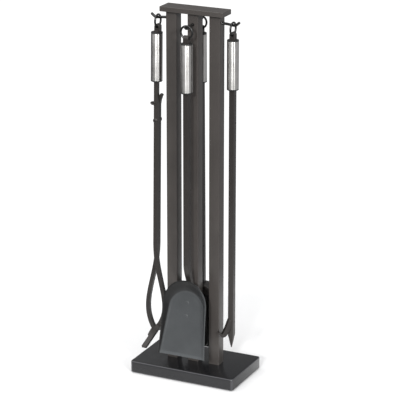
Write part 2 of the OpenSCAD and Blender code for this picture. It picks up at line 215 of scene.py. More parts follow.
def paint_shade_by(finish, name, grey):
    """Paints shade: turns a finish to grey by the mesh's own shares, kept under name."""
    shares = finish.add("ShaderNodeAttribute", attribute_name=name).outputs["Fac"]
    colour = finish.shader.inputs["Base Color"]
    tone = colour.links[0].from_socket
    finish.join(finish.blend(shares, tone, (grey, grey, grey)), colour)


def brushed_steel(name, slot):
    """Stainless steel turned on a lathe: fine rings that draw reflections out along the handle."""
    finish = Finish(name, slot, Metallic=1.0, Anisotropic=0.94, Anisotropic_Rotation=0.25)
    rings = finish.noise(2600, 3, (0.02, 0.02, 1))
    smears = finish.noise(45, 3)
    tone = finish.blend(finish.spread(smears, 0.3, 0.7, 0, 1), (0.55, 0.54, 0.52), (0.66, 0.65, 0.63))
    tone = finish.blend(finish.spread(rings, 0.45, 0.75, 0, 0.4), tone, (0.36, 0.35, 0.33))
    tangent = finish.add("ShaderNodeTangent", direction_type="RADIAL", axis="Z").outputs["Tangent"]
    finish.set(
        Base_Color=tone,
        Roughness=finish.spread(finish.times(rings, smears), 0.12, 0.4, 0.34, 0.42),
        Normal=finish.bump(rings, 0.00002),
        Tangent=tangent,
    )
    return finish


def plain_black(name, slot, colour, roughness, ripple, depth):
    """Black paint or moulded rubber with a fine ripple, and paler where it is rubbed."""
    finish = Finish(name, slot, Specular_IOR_Level=0.5)
    dust = finish.noise(120, 4)
    tone = finish.blend(finish.spread(dust, 0.4, 0.75, 0, 1), darker(colour, 0.8), darker(colour, 1.7))
    tone = finish.blend(finish.edges(0.53, 0.64), tone, darker(colour, 3))
    finish.set(
        Base_Color=tone,
        Roughness=finish.spread(finish.noise(90, 3), 0.3, 0.7, roughness - 0.07, roughness + 0.07),
        Normal=finish.bump(finish.noise(ripple, 3), depth),
    )
    return finish


def plating(name, slot):
    """Dull zinc with a faint spangle."""
    finish = Finish(name, slot, Metallic=1.0)
    spangle = finish.noise(400, 1)
    finish.set(
        Base_Color=finish.blend(spangle, (0.42, 0.43, 0.45), (0.66, 0.66, 0.64)),
        Roughness=finish.spread(finish.noise(150, 3), 0.3, 0.7, 0.3, 0.5),
        Normal=finish.bump(spangle, 0.00005),
    )
    return finish


def stained_wood(name, slot):
    """Dark stained wood with its grain along X."""
    finish = Finish(name, slot, Specular_IOR_Level=0.3)
    grain = finish.noise(220, 4, (0.06, 1, 1))
    finish.set(
        Base_Color=finish.blend(grain, (0.03, 0.02, 0.014), (0.10, 0.07, 0.045)),
        Roughness=finish.spread(grain, 0.3, 0.7, 0.55, 0.75),
        Normal=finish.bump(grain, 0.0002),
    )
    return finish


def bristle_black(name, slot):
    """Stiff fibres, each of its own tone, with a little sheen along them."""
    finish = Finish(name, slot, Specular_IOR_Level=0.45, Roughness=0.45)
    strand = finish.noise(900, 1, (1, 1, 0.01))
    along = finish.noise(200, 3, (1, 1, 0.2))
    tone = finish.blend(finish.spread(strand, 0.35, 0.65, 0, 1), (0.004, 0.004, 0.004), (0.02, 0.019, 0.018))
    finish.set(Base_Color=tone, Normal=finish.bump(along, 0.0001))
    return finish


# Painted highlight on every coat's edges, strongest on the base.
STAND_BLACK = powder_coat("stand_powder_coat", "stand_black", (0.046, 0.041, 0.038), 0.34, 0.4, edge_highlight=1.1)
TOOL_BLACK = powder_coat("tool_powder_coat", "tool_black", (0.024, 0.0215, 0.020), 0.32, 0.28)
BASE_BLACK = powder_coat(
    "base_satin_coat", "base_black", (0.011, 0.011, 0.012), 0.2, 0.42, edge_highlight=5, edge=0.53, grain=0.00002
)
# Painted shade: the pan's walls are painted near black, least on the right wall, where light from above
# leaves them dark.
PAINTED_WALL_SHADE = "painted_wall_shade"
PAN_BLACK = powder_coat("pan_powder_coat", "pan_black", (0.044, 0.047, 0.049), 0.34, 0.3)
paint_shade_by(PAN_BLACK, PAINTED_WALL_SHADE, 0.008)
STEEL = brushed_steel("turned_stainless", "brushed_steel")
CAP_BLACK = plain_black("cap_paint", "black_cap", (0.010, 0.010, 0.010), 0.36, 500, 0.00006)
WIRE_BLACK = plain_black("wire_paint", "black_wire", (0.005, 0.005, 0.005), 0.3, 350, 0.00006)
RUBBER = plain_black("foot_rubber", "rubber", (0.014, 0.014, 0.014), 0.7, 900, 0.00015)
PLATED = plating("zinc_plating", "plated_steel")
WOOD = stained_wood("stained_wood", "block")
BRISTLE = bristle_black("bristle_fibre", "bristle")


# ---- Making pieces --------------------------------------------------------------

# Widths of the rounded edges on bars and on slimmer parts, and the radius left at a tip
EDGE = 0.0009
FINE_EDGE = 0.0007
TIP = 0.00001
# Faces that meet at over this many degrees have a sharp edge, which a bevel rounds
SHARP = 40
# The place of a piece whose verts are in the shared frame already
HERE = Matrix.Identity(4)


def piece(name, verts, faces, place, finish, body, nodes, bevel=0.0, smooth_under=SHARP):
    """A mesh piece that stands for nodes and rides on body. Its verts are in the frame of place."""
    mesh = bpy.data.meshes.new(name)
    mesh.from_pydata([place @ Vector(v) for v in verts], [], faces)
    work = bmesh.new()
    work.from_mesh(mesh)
    bmesh.ops.remove_doubles(work, verts=work.verts, dist=1e-6)
    bmesh.ops.recalc_face_normals(work, faces=work.faces)
    work.to_mesh(mesh)
    work.free()
    mesh.shade_smooth()
    mesh.set_sharp_from_angle(angle=math.radians(smooth_under))
    obj = bpy.data.objects.new(name, mesh)
    bpy.context.scene.collection.objects.link(obj)
    if bevel:
        round_edges(obj, bevel)
    mesh.materials.append(finish.material)
    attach(obj, body)
    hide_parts(*nodes)
    return obj


def round_edges(obj, width, segments=3):
    bevel = obj.modifiers.new("rounded_edges", "BEVEL")
    bevel.width = width
    bevel.segments = segments
    bevel.limit_method = "ANGLE"
    bevel.angle_limit = math.radians(SHARP)
    bevel.harden_normals = True


def settle(obj):
    """Turns obj's modifiers into its mesh."""
    graph = bpy.context.evaluated_depsgraph_get()
    settled = bpy.data.meshes.new_from_object(obj.evaluated_get(graph))
    obj.modifiers.clear()
    obj.data = settled
    settled.shade_smooth()
    settled.set_sharp_from_angle(angle=math.radians(SHARP))


def turns(steps, start=0.0):
    """Angles all the way round, from start."""
    return [start + 2 * math.pi * k / steps for k in range(steps)]


def add_ring(verts, rings, points):
    """Adds points to verts, and the numbers they get to rings."""
    rings.append(list(range(len(verts), len(verts) + len(points))))
    verts.extend(points)


def rings_to_faces(rings, closed_rings=True, closed_run=False):
    """Quads between neighbouring rings of vertex numbers."""
    pairs = list(zip(rings, rings[1:] + rings[:1] if closed_run else rings[1:]))
    faces = []
    for a, b in pairs:
        for k in range(len(a) if closed_rings else len(a) - 1):
            after = (k + 1) % len(a)
            faces.append((a[k], a[after], b[after], b[k]))
    return faces


def side_steps(line):
    """The mitred sideways step at each point of a line in two dimensions."""
    points = [Vector(p) for p in line]
    ways = [(b - a).normalized() for a, b in zip(points, points[1:])]
    sides = [Vector((-way.y, way.x)) for way in ways]
    steps = []
    for before, after in zip([sides[0]] + sides, sides + [sides[-1]]):
        steps.append((before + after) / (1 + before.dot(after)))
    return steps


def cubic(control, steps):
    """Points along a curve with four control points."""
    a, b, c, d = (Vector(p) for p in control)
    points = []
    for i in range(steps + 1):
        t = i / steps
        s = 1 - t
        points.append(s**3 * a + 3 * s * s * t * b + 3 * s * t * t * c + t**3 * d)
    return points


def bar(line, half, depth, head=False):
    """A square bar along a line in X and Z. half and depth are half widths, one or one a point.
    With a head, the line starts under a round eye whose hole is at the origin."""
    count = len(line)
    halves = half if isinstance(half, list) else [half] * count
    depths = depth if isinstance(depth, list) else [depth] * count
    verts, rings = [], []
    for point, step, h, d in zip(line, side_steps(line), halves, depths):
        left = Vector(point) + step * h
        right = Vector(point) - step * h
        corners = ((left, -d), (right, -d), (right, d), (left, d))
        add_ring(verts, rings, [(corner.x, y, corner.y) for corner, y in corners])
    faces = rings_to_faces(rings) + [tuple(rings[-1])]
    if not head:
        return verts, faces + [tuple(rings[0])]
    return add_head(verts, faces, halves[0], depths[0])


def add_head(verts, faces, half, depth, steps=24):
    """Closes the top of a bar with a round head and the hole through it. The head's lower corners
    fall on the bar's first ring, and piece() merges them."""
    start = -45
    last = 180 - start
    loops = {}
    for side, v in (("front", -depth), ("back", depth)):
        holes, outs = [], []
        for turn in (start + 360 * i / steps for i in range(steps)):
            a = math.radians(turn)
            holes.append(len(verts))
            verts.append((EYE_HOLE * math.cos(a), v, EYE_HOLE * math.sin(a)))
            if turn <= last:
                outs.append(len(verts))
                reach = half if 0 <= turn <= 180 else half / abs(math.cos(a))
                verts.append((reach * math.cos(a), v, reach * math.sin(a)))
        loops[side] = (holes, outs)
        for k in range(len(outs) - 1):
            faces.append((holes[k], outs[k], outs[k + 1], holes[k + 1]))
        under = holes[len(outs) - 1:] + holes[:1]
        faces.append(tuple([outs[0], outs[-1]] + under))
    (front_hole, front_out), (back_hole, back_out) = loops["front"], loops["back"]
    faces += rings_to_faces([front_hole, back_hole])
    faces += rings_to_faces([front_out, back_out], closed_rings=False)
    return verts, faces


def lathe(profile, steps, closed=True):
    """Turns a profile of (radius, height) points about Z. A closed one joins its end to its start."""
    verts, rings = [], []
    for radius, height in profile:
        add_ring(verts, rings, [(radius * math.cos(a), radius * math.sin(a), height) for a in turns(steps)])
    return verts, rings_to_faces(rings, closed_run=closed)


def tube(path, radii, side, steps=20):
    """A round rod along a path of points in one plane, whose normal is side. Ends are closed."""
    points = [Vector(p) for p in path]
    side = Vector(side)
    verts, rings = [], []
    for i, (point, radius) in enumerate(zip(points, radii)):
        way = (points[min(i + 1, len(points) - 1)] - points[max(i - 1, 0)]).normalized()
        across = way.cross(side)
        add_ring(verts, rings, [
            point + radius * (math.cos(a) * side + math.sin(a) * across) for a in turns(steps)
        ])
    return verts, rings_to_faces(rings) + [tuple(rings[0]), tuple(rings[-1])]


def rounded_corners(line, bend, steps=5):
    """The line with an arc-like bend round each inner point, which starts up to bend away from it."""
    points = [Vector(p) for p in line]
    path = [points[0]]
    for before, corner, after in zip(points, points[1:], points[2:]):
        reach = min(bend, (before - corner).length / 2.1, (after - corner).length / 2.1)
        start = corner + (before - corner).normalized() * reach
        end = corner + (after - corner).normalized() * reach
        for i in range(steps + 1):
            t = i / steps
            path.append((1 - t) ** 2 * start + 2 * t * (1 - t) * corner + t * t * end)
    return path + [points[-1]]


def rounded_outline(centre, half, corner, steps):
    """A rectangle round centre with its four corners rounded, as points in X and Y."""
    inner = half - Vector((corner, corner, 0))
    points = []
    for quarter, signs in enumerate(((1, 1, 0), (-1, 1, 0), (-1, -1, 0), (1, -1, 0))):
        around = centre + Vector(signs) * inner
        for i in range(steps + 1):
            a = math.radians(90 * quarter + 90 * i / steps)
            points.append((around.x + corner * math.cos(a), around.y + corner * math.sin(a)))
    return points


def block(node, corner, steps=6):
    """The box of a node, upright, with its four upright corners rounded."""
    outline = rounded_outline(middle(node), size(node) / 2, corner, steps)
    verts, rings = [], []
    for z in (low(node).z, high(node).z):
        add_ring(verts, rings, [(x, y, z) for x, y in outline])
    return verts, rings_to_faces(rings) + [tuple(rings[0]), tuple(rings[1])]


# ---- Stand ------------------------------------------------------------------------

POSTS = ("post_left", "post_middle", "post_right")
BASE_CORNER = 0.006
BASE_EDGE = 0.0022
WASHER_GAP = 0.002
POST_WALL = 0.002
POST_CORNERS = (0.0016, 0.0004)
PLATE_CORNER = 0.0015
PLATE_EDGE = 0.001


def make_base():
    """The slab, with a pocket for the washer under each post."""
    verts, faces = block("base", BASE_CORNER)
    base = piece("base_slab", verts, faces, HERE, BASE_BLACK, "stand", ["base"])
    round_edges(base, BASE_EDGE, 4)
    settle(base)
    radius = size("base_washers").y / 2 + WASHER_GAP
    for node in POSTS:
        drill(base, middle(node), radius, low("base").z, high("base_washers").z)


def drill(obj, centre, radius, bottom, top, steps=40, past=0.01):
    """Cuts a round pocket into the underside of obj. The cutter starts a little below it."""
    verts, rings = [], []
    for z in (bottom - past, top):
        add_ring(verts, rings, [
            (centre.x + radius * math.cos(a), centre.y + radius * math.sin(a), z) for a in turns(steps)
        ])
    mesh = bpy.data.meshes.new("cutter")
    mesh.from_pydata(verts, [], rings_to_faces(rings) + [tuple(reversed(rings[0])), tuple(rings[1])])
    cutter = bpy.data.objects.new("cutter", mesh)
    bpy.context.scene.collection.objects.link(cutter)
    cut = obj.modifiers.new("pocket", "BOOLEAN")
    cut.operation = "DIFFERENCE"
    cut.solver = "EXACT"
    cut.object = cutter
    settle(obj)
    bpy.data.objects.remove(cutter)


def make_post(node):
    """A square tube with rounded corners, open inside. Extra levels keep its end edges narrow."""
    half, wall, near_end = size(node) / 2, Vector((POST_WALL, POST_WALL, 0)), 0.003
    outer = rounded_outline(middle(node), half, POST_CORNERS[0], 5)
    inner = rounded_outline(middle(node), half - wall, POST_CORNERS[1], 5)
    bottom, top = low(node).z, high(node).z
    levels = [bottom, bottom + near_end, middle(node).z, top - near_end, top]
    verts, rings = [], []
    for outline, heights in ((outer, levels), (inner, levels[::-1])):
        for z in heights:
            add_ring(verts, rings, [(x, y, z) for x, y in outline])
    faces = rings_to_faces(rings, closed_run=True)
    piece(node + "_tube", verts, faces, HERE, STAND_BLACK, "stand", [node])


# The middle of a hook's rod from its root: how far out, and how far up
HOOK_LINE = [(0, 0), (0.014, -0.0006), (0.031, -0.003), (0.0395, 0.0042)]
HOOK_BEND = 0.006
# A hook's weld: how far out, how far up, and how many times the rod's own thickness
WELD = ((0, 0, 1.32), (0.0012, 0, 1.2), (0.0024, -0.0001, 1))


def make_hook(node, outward):
    """A round rod with soft bends, a rounded tip, and a low weld at its root."""
    turn = Vector(outward)
    along = Vector([abs(part) for part in turn])
    length = size(node).dot(along)
    less = size("hook_right").x - length
    root = middle(node) - turn * (length / 2)
    root.z = high(node).z - HOOK_LINE[-1][1] - ROD / 2
    line = rounded_corners([(u - less if u else 0, 0, w) for u, w in HOOK_LINE], HOOK_BEND)
    line = [line[0] + Vector((u, 0, w)) for u, w, _ in WELD] + line[1:]
    radii = [ROD / 2 * swell for _, _, swell in WELD] + [ROD / 2] * (len(line) - len(WELD))
    end = line[-1]
    way = (end - line[-2]).normalized()
    for i in range(1, 6):
        a = math.radians(17 * i)
        line.append(end + way * (ROD / 2 * math.sin(a)))
        radii.append(ROD / 2 * math.cos(a))
    verts, faces = tube(line, radii, (0, 1, 0))
    piece(node + "_rod", verts, faces, hanging(root, outward), WIRE_BLACK, "stand", [node], smooth_under=60)


def make_stand():
    make_base()
    for node in POSTS:
        make_post(node)
    verts, faces = block("top_plate", PLATE_CORNER, 3)
    piece("top_plate_bar", verts, faces, HERE, STAND_BLACK, "stand", ["top_plate"], bevel=PLATE_EDGE)
    for node, outward in (
        ("hook_right", (1, 0, 0)), ("hook_left", (-1, 0, 0)),
        ("hook_front", (0, -1, 0)), ("hook_back", (0, 1, 0)),
    ):
        make_hook(node, outward)


# ---- What the four tools share ------------------------------------------------------

# The sleeves and caps stay this far inside their nodes
INSET = 0.00002
SLEEVE_WALL = 0.0015
# The space round a bar in its caps, and round a cap's spigot in the sleeve
CAP_GAP = 0.0001


def make_ring(tool):
    """A wire ring with the low swelling of its butt weld."""
    node = tool + "_ring"
    centre = middle(node)
    axis = Vector((1, 0, 0)) if size(node).x < size(node).y else Vector((0, 1, 0))
    across = UP.cross(axis)
    weld, weld_reach, swelling = math.radians(60), 0.12, 0.09
    verts, rings = [], []
    for a in turns(64):
        radius = WIRE / 2 * (1 + swelling * math.exp(-((a - weld) / weld_reach) ** 2))
        out = math.cos(a) * across + math.sin(a) * UP
        add_ring(verts, rings, [
            centre + out * (RING + radius * math.cos(b)) + axis * (radius * math.sin(b)) for b in turns(16)
        ])
    faces = rings_to_faces(rings, closed_run=True)
    piece(node + "_wire", verts, faces, HERE, WIRE_BLACK, node + "_body", [node], smooth_under=60)


def make_sleeve(tool, place):
    """A thin steel tube whose ends are turned over a little."""
    node = tool + "_sleeve"
    lo, hi = local_box(node, place)
    soft = 0.0005
    radius, half_length = SLEEVE - INSET, (hi.z - lo.z) / 2
    profile = []
    for end, run in ((-1, (0, 30, 60, 90)), (1, (90, 60, 30, 0))):
        for a in (math.radians(x) for x in run):
            level = half_length - soft + soft * math.cos(a)
            profile.append((radius - soft + soft * math.sin(a), end * level))
    profile += [(radius - SLEEVE_WALL, half_length), (radius - SLEEVE_WALL, -half_length)]
    verts, faces = lathe(profile, 72)
    centre = Matrix.Translation((lo + hi) / 2)
    piece(node + "_tube", verts, faces, place @ centre, STEEL, tool, [node])


def make_caps(tool, place, bar_half):
    """Two end caps with rounded rims and a square hole for the bar."""
    lo, hi = local_box(tool + "_sleeve", place)
    half_length = (hi.z - lo.z) / 2
    rim, soft, spigot, steps = 0.0025, 0.0009, 0.009, 72
    radius, hole = SLEEVE - INSET, bar_half + CAP_GAP
    spigot_radius = radius - SLEEVE_WALL - CAP_GAP
    outside = [(spigot_radius, -spigot), (spigot_radius, 0), (radius, 0)]
    for a in (math.radians(x) for x in (0, 30, 60, 90)):
        outside.append((radius - soft + soft * math.cos(a), rim - soft + soft * math.sin(a)))
    verts, faces = [], []
    for end in (-1, 1):
        rings = []
        for round_reach, height in outside + [(None, rim), (None, -spigot)]:
            points = []
            for a in turns(steps, math.pi / steps):
                reach = round_reach or hole / max(abs(math.cos(a)), abs(math.sin(a)))
                points.append((reach * math.cos(a), reach * math.sin(a), end * (half_length + height)))
            add_ring(verts, rings, points)
        faces += rings_to_faces(rings, closed_run=True)
    centre = Matrix.Translation((lo + hi) / 2)
    piece(tool + "_caps_pair", verts, faces, place @ centre, CAP_BLACK, tool, [tool + "_caps"])


def make_handles():
    for tool, place, half in (
        ("poker", POKER, BAR / 2), ("shovel", SHOVEL, BAR / 2),
        ("brush", BRUSH, BAR / 2), ("tongs", TONGS, TONG / 2),
    ):
        make_ring(tool)
        make_sleeve(tool, place)
        make_caps(tool, place, half)


# ---- Poker --------------------------------------------------------------------------

POINT = 0.031
POINT_HALF = 0.001
PRONG_LINE = [(0.002, -0.6545), (0.0105, -0.6735), (0.0175, -0.7075), (0.0300, -0.6820)]
PRONG_TURN = math.radians(40)
PRONG_HALF = 0.0053
PRONG_TIP_HALF = 0.0015
PRONG_DEPTH = 0.006


def make_poker():
    """A bar with a four-sided point, and a hook that narrows over its last part."""
    half = BAR / 2
    bottom = low("poker_shaft").z - POKER.translation.z
    line = [(0, -half), (0, bottom + POINT), (0, bottom)]
    halves = [half, half, POINT_HALF]
    verts, faces = bar(line, halves, halves, head=True)
    piece("poker_bar", verts, faces, POKER, TOOL_BLACK, "poker", ["poker_shaft"], bevel=EDGE)
    steps, narrows_from = 14, 0.55
    curve = [tuple(p) for p in cubic(PRONG_LINE, steps)]
    halves = []
    for i in range(steps + 1):
        narrowing = max(0, (i / steps - narrows_from) / (1 - narrows_from)) ** 1.3
        halves.append(PRONG_HALF - (PRONG_HALF - PRONG_TIP_HALF) * narrowing)
    verts, faces = bar(curve, halves, PRONG_DEPTH)
    place = POKER @ Matrix.Rotation(math.pi + PRONG_TURN, 4, "Z")
    piece("poker_hook", verts, faces, place, TOOL_BLACK, "poker", ["poker_prong"], bevel=FINE_EDGE)


# ---- Shovel -------------------------------------------------------------------------

PAN_LIP = Vector((0.0285, -0.7267))
PAN_TILT = math.radians(14)
PAN_SHEET = 0.0016
PAN_DEPTH = 0.020
LIP_WALL = 0.004
# For an arch: its width at the lip, how far up its centre is, and its radius
FLOOR_ARCH = (0.108, 0.105, 0.042)
RIM_ARCH = (0.120, 0.117, 0.054)
KNEE = [(0, -0.515), (0, -0.540), (-0.0203, -0.5577), (-0.0143, -0.582)]
TANG_END = 0.045
RIVETS = (0.092, 0.122)
RIVET_HEAD = 0.0045
RIVET_RISE = 0.0005
IN_PAN = (
    SHOVEL
    @ Matrix.Translation((PAN_LIP.x, 0, PAN_LIP.y))
    @ Matrix.Rotation(-PAN_TILT, 4, "Y")
    @ Matrix(((0, 0, 1, 0), (1, 0, 0, 0), (0, 1, 0, 0), (0, 0, 0, 1)))
)


def pan_point(t, n):
    """The point t up the pan's floor and n out of it, in the shovel's X and Z."""
    along = Vector((-math.sin(PAN_TILT), math.cos(PAN_TILT)))
    out = Vector((math.cos(PAN_TILT), math.sin(PAN_TILT)))
    return tuple(PAN_LIP + t * along + n * out)


def make_shovel():
    half, seat_gap = BAR / 2, 0.0001
    knee = [tuple(p) for p in cubic(KNEE, 12)]
    line = [(0, -half)] + knee + [pan_point(TANG_END, -half - seat_gap)]
    verts, faces = bar(line, half, half, head=True)
    piece("shovel_bar", verts, faces, SHOVEL, TOOL_BLACK, "shovel", ["shovel_shaft"], bevel=EDGE)
    make_pan()
    make_rivets()


def arch(width, centre, radius, line_steps=14, arc_steps=26):
    """From the left of the lip, up the side, round the top and down the right side."""
    corner = Vector((-width / 2, 0))
    middle_point = Vector((0, centre))
    away = corner - middle_point
    angle = math.atan2(away.y, away.x) % (2 * math.pi) - math.acos(radius / away.length)
    touch = middle_point + radius * Vector((math.cos(angle), math.sin(angle)))
    points = [corner.lerp(touch, i / line_steps) for i in range(line_steps)]
    for i in range(arc_steps + 1):
        a = angle + (math.pi / 2 - angle) * i / arc_steps
        points.append(middle_point + radius * Vector((math.cos(a), math.sin(a))))
    return points + [Vector((-p.x, p.y)) for p in points[-2::-1]]


def make_pan():
    """A pressed sheet: a flat floor, a soft bend, a flared wall, and a rim rolled outwards."""
    slope = (PAN_DEPTH - LIP_WALL) / (RIM_ARCH[1] + RIM_ARCH[2])
    bend, roll, mid = 0.0045, 0.0011, PAN_SHEET / 2
    verts, rows = [], []
    for foot, top in zip(arch(*FLOOR_ARCH), arch(*RIM_ARCH)):
        height = LIP_WALL + slope * top.y
        wall_top = foot.lerp(top, height / PAN_DEPTH)
        spine = Vector((0, min(foot.y, FLOOR_ARCH[1]), mid))
        base = Vector((foot.x, foot.y, mid))
        crown = Vector((wall_top.x, wall_top.y, height))
        wall = (crown - base).normalized()
        start = base + (spine - base).normalized() * bend
        end = base + wall * bend
        row = [spine, start.lerp(spine, 0.5)]
        for i in range(6):
            t = i / 5
            row.append((1 - t) ** 2 * start + 2 * t * (1 - t) * base + t * t * end)
        row.append(end.lerp(crown, 0.5))
        outward = Vector((wall.x, wall.y, 0)).normalized()
        for i in range(8):
            a = math.radians(28 * i)
            row.append(crown + roll * ((1 - math.cos(a)) * outward + math.sin(a) * wall))
        add_ring(verts, rows, row)
    faces = rings_to_faces(rows, closed_rings=False)
    pan = piece("shovel_pan_sheet", verts, faces, IN_PAN, PAN_BLACK, "shovel", ["shovel_pan"])
    sheet = pan.modifiers.new("sheet", "SOLIDIFY")
    sheet.thickness = PAN_SHEET
    sheet.offset = 0
    settle(pan)
    # Painted shade on the pan's walls.
    paint_wall_shade(pan)


def paint_wall_shade(pan):
    """Writes how much painted shade each point gets: none on the floor, full on the walls, little on the
    right wall.
    """
    into = IN_PAN.inverted()
    painted_wall_shade = pan.data.attributes.new(PAINTED_WALL_SHADE, "FLOAT", "POINT")
    for vertex in pan.data.vertices:
        spot = into @ vertex.co
        high_up = max(0, min(1, (spot.z - 2 * PAN_SHEET) / PAN_SHEET))
        leftward = max(0.2, min(1, 1.5 - spot.x / FLOOR_ARCH[2]))
        painted_wall_shade.data[vertex.index].value = high_up * leftward


def make_rivets():
    """Domed heads on the pan's floor and on the back of the bar."""
    verts, faces = [], []
    for t in RIVETS:
        for level, way in ((PAN_SHEET, 1), (-BAR, -1)):
            rings = []
            for rise in (math.radians(15 * i) for i in range(7)):
                radius = max(RIVET_HEAD * math.cos(rise), TIP)
                height = level + way * RIVET_RISE * math.sin(rise)
                add_ring(verts, rings, [
                    (radius * math.cos(a), t + radius * math.sin(a), height) for a in turns(24)
                ])
            faces += rings_to_faces(rings) + [tuple(rings[0])]
    piece(
        "shovel_rivet_heads", verts, faces, IN_PAN, PAN_BLACK, "shovel", ["shovel_rivets"], smooth_under=60
    )


# ---- Brush --------------------------------------------------------------------------

def make_brush():
    half = BAR / 2
    bottom = local_box("brush_shaft", BRUSH)[0].z
    verts, faces = bar([(0, -half), (0, bottom)], half, half, head=True)
    piece("brush_bar", verts, faces, BRUSH, TOOL_BLACK, "brush", ["brush_shaft"], bevel=EDGE)
    make_ferrule()
    make_bristles()


def make_ferrule():
    """A folded sheet cup with an arched top and a mouth open to the bristles."""
    lo, hi = local_box("brush_ferrule", BRUSH)
    wall, edge, drop, steps = 0.0018, 0.0011, 0.016, 18
    half = hi.y
    outline = [(-half, lo.z)]
    for i in range(steps + 1):
        y = half * (2 * i / steps - 1)
        outline.append((y, hi.z - drop * (y / half) ** 2))
    outline.append((half, lo.z))
    last = len(outline) - 1
    verts, loops = [], []
    for inset, x in ((0, lo.x), (0, hi.x), (wall, hi.x - wall), (wall, lo.x + wall)):
        add_ring(verts, loops, [
            (x, y * (1 - inset / half), z if i in (0, last) else z - inset)
            for i, (y, z) in enumerate(outline)
        ])
    near, far, inner_far, inner_near = loops
    faces = rings_to_faces([near, far], closed_rings=False)
    faces += rings_to_faces([inner_far, inner_near], closed_rings=False)
    faces += [tuple(loop) for loop in loops]
    for a, b in ((near, inner_near), (far, inner_far)):
        faces.append((a[0], a[last], b[last], b[0]))
    for i in (0, last):
        faces.append((near[i], far[i], inner_far[i], inner_near[i]))
    piece("brush_ferrule_cup", verts, faces, BRUSH, TOOL_BLACK, "brush", ["brush_ferrule"], bevel=edge)


def make_bristles(rows=5, columns=15, per_tuft=34):
    """Tufts of stiff strands that spread towards the floor, trimmed almost level."""
    pick = random.Random(7)
    root_scatter, tip_scatter, limit = 0.4, 0.9, 0.97
    bowing, trim = 0.0008, 0.0012
    lo, hi = local_box("brush_bristles", BRUSH)
    block_lo, block_hi = local_box("brush_block", BRUSH)
    halves = ((block_hi - block_lo) / 2, (hi - lo) / 2)
    verts, faces = [], []
    for row in range(rows):
        for column in range(columns):
            tuft = Vector((2 * (row + 0.5) / rows - 1, 2 * (column + 0.5) / columns - 1))
            for _ in range(per_tuft):
                root = tuft + scatter(pick, root_scatter / rows, root_scatter / columns)
                tip = root + scatter(pick, tip_scatter / rows, tip_scatter / columns)
                ends = [Vector([max(-limit, min(limit, part)) for part in end]) for end in (root, tip)]
                bow = scatter(pick, bowing, bowing)
                levels = (hi.z, lo.z + abs(pick.gauss(0, trim)))
                add_strand(verts, faces, ends, bow, levels, halves, pick.uniform(0, 2))
    piece("brush_bristle_tufts", verts, faces, BRUSH, BRISTLE, "brush", ["brush_bristles"], smooth_under=75)


def scatter(pick, x_share, y_share):
    return Vector((pick.gauss(0, x_share), pick.gauss(0, y_share)))


def add_strand(verts, faces, ends, bow, levels, halves, turn, radius=0.00042, steps=4):
    """One three-sided strand from its root in the block to its tip."""
    rings = []
    for i in range(steps + 1):
        t = i / steps
        share = ends[0].lerp(ends[1], t)
        reach = halves[0].lerp(halves[1], t)
        bend = bow * math.sin(math.pi * t)
        x = share.x * (reach.x - radius) + bend.x * (1 - abs(share.x))
        y = share.y * (reach.y - radius) + bend.y * (1 - abs(share.y))
        z = levels[0] + (levels[1] - levels[0]) * t
        add_ring(verts, rings, [
            (x + radius * math.cos(a), y + radius * math.sin(a), z) for a in turns(3, turn)
        ])
    faces += rings_to_faces(rings) + [tuple(rings[0]), tuple(rings[-1])]


# ---- Tongs --------------------------------------------------------------------------

FRONT_JAW = [(0, -0.500), (0, -0.590), (0.046, -0.642), (0.0095, -0.697)]
REAR_JAW = [(0, -0.500), (0, -0.590), (0.047, -0.650), (0.0065, -0.713)]
LEVER = [(0.0085, -0.153), (0.0025, -0.165), (0, -0.177)]
LEVER_TAPER = [0.62, 0.9]
BAR_GAP = 0.00015
TOE, TOE_DROP = 0.081, 0.027
HEEL, HEEL_DROP = 0.019, 0.009
FOOT = (0.012, 0.006)
FOOT_BEND = 0.008
FOOT_RISE = 0.001
PIVOT_HEAD = 0.00625
PIVOT_SHANK = 0.003
PIVOT_RISE = 0.003
PIVOT_GAP = 0.0003


def make_foot(name, jaw, body, node, turned=False):
    """A flat foot across the jaw's end: a long toe one way and a short heel the other."""
    x, level = jaw[3]
    corners = [(HEEL, level - HEEL_DROP, 0), (0, level + FOOT_RISE, 0), (-TOE, level - TOE_DROP, 0)]
    line = [(p.x, p.y) for p in rounded_corners(corners, FOOT_BEND, 4)]
    verts, faces = bar(line, FOOT[1] / 2, FOOT[0] / 2)
    place = TONGS @ Matrix.Rotation(math.pi if turned else 0, 4, "Z")
    place = place @ Matrix.Translation((x, 0, 0)) @ Matrix.Rotation(math.pi / 2, 4, "Z")
    piece(name, verts, faces, place, TOOL_BLACK, body, [node], bevel=FINE_EDGE)


def make_tongs():
    """Two bars side by side: the front one under the eye, and the lever behind it."""
    half, overlap = TONG / 2, 0.003
    eye_end = local_box("tongs_caps", TONGS)[1].z
    line = [(0, eye_end + overlap)] + [tuple(p) for p in cubic(FRONT_JAW, 24)]
    verts, faces = bar(line, half, half)
    place = TONGS @ Matrix.Translation((0, -half - BAR_GAP, 0))
    piece("tongs_front_bar", verts, faces, place, TOOL_BLACK, "tongs", ["tongs_main_bar"], bevel=FINE_EDGE)
    verts, faces = bar([(0, -BAR / 2), (0, eye_end)], BAR / 2, BAR / 2, head=True)
    piece("tongs_eye", verts, faces, TONGS, TOOL_BLACK, "tongs", ["tongs_main_bar"], bevel=EDGE)
    line = LEVER + [(-p.x, p.y) for p in cubic(REAR_JAW, 24)]
    halves = [half * share for share in LEVER_TAPER] + [half] * (len(line) - len(LEVER_TAPER))
    verts, faces = bar(line, halves, half)
    place = TONGS @ Matrix.Translation((0, half + BAR_GAP, 0))
    node = "tongs_lever_bar"
    piece("tongs_rear_bar", verts, faces, place, TOOL_BLACK, "tongs_lever", [node], bevel=FINE_EDGE)
    make_foot("tongs_front_foot", FRONT_JAW, "tongs", "tongs_main_bar")
    make_foot("tongs_rear_foot", REAR_JAW, "tongs_lever", node, turned=True)
    make_pivot()
    make_finger_tab()


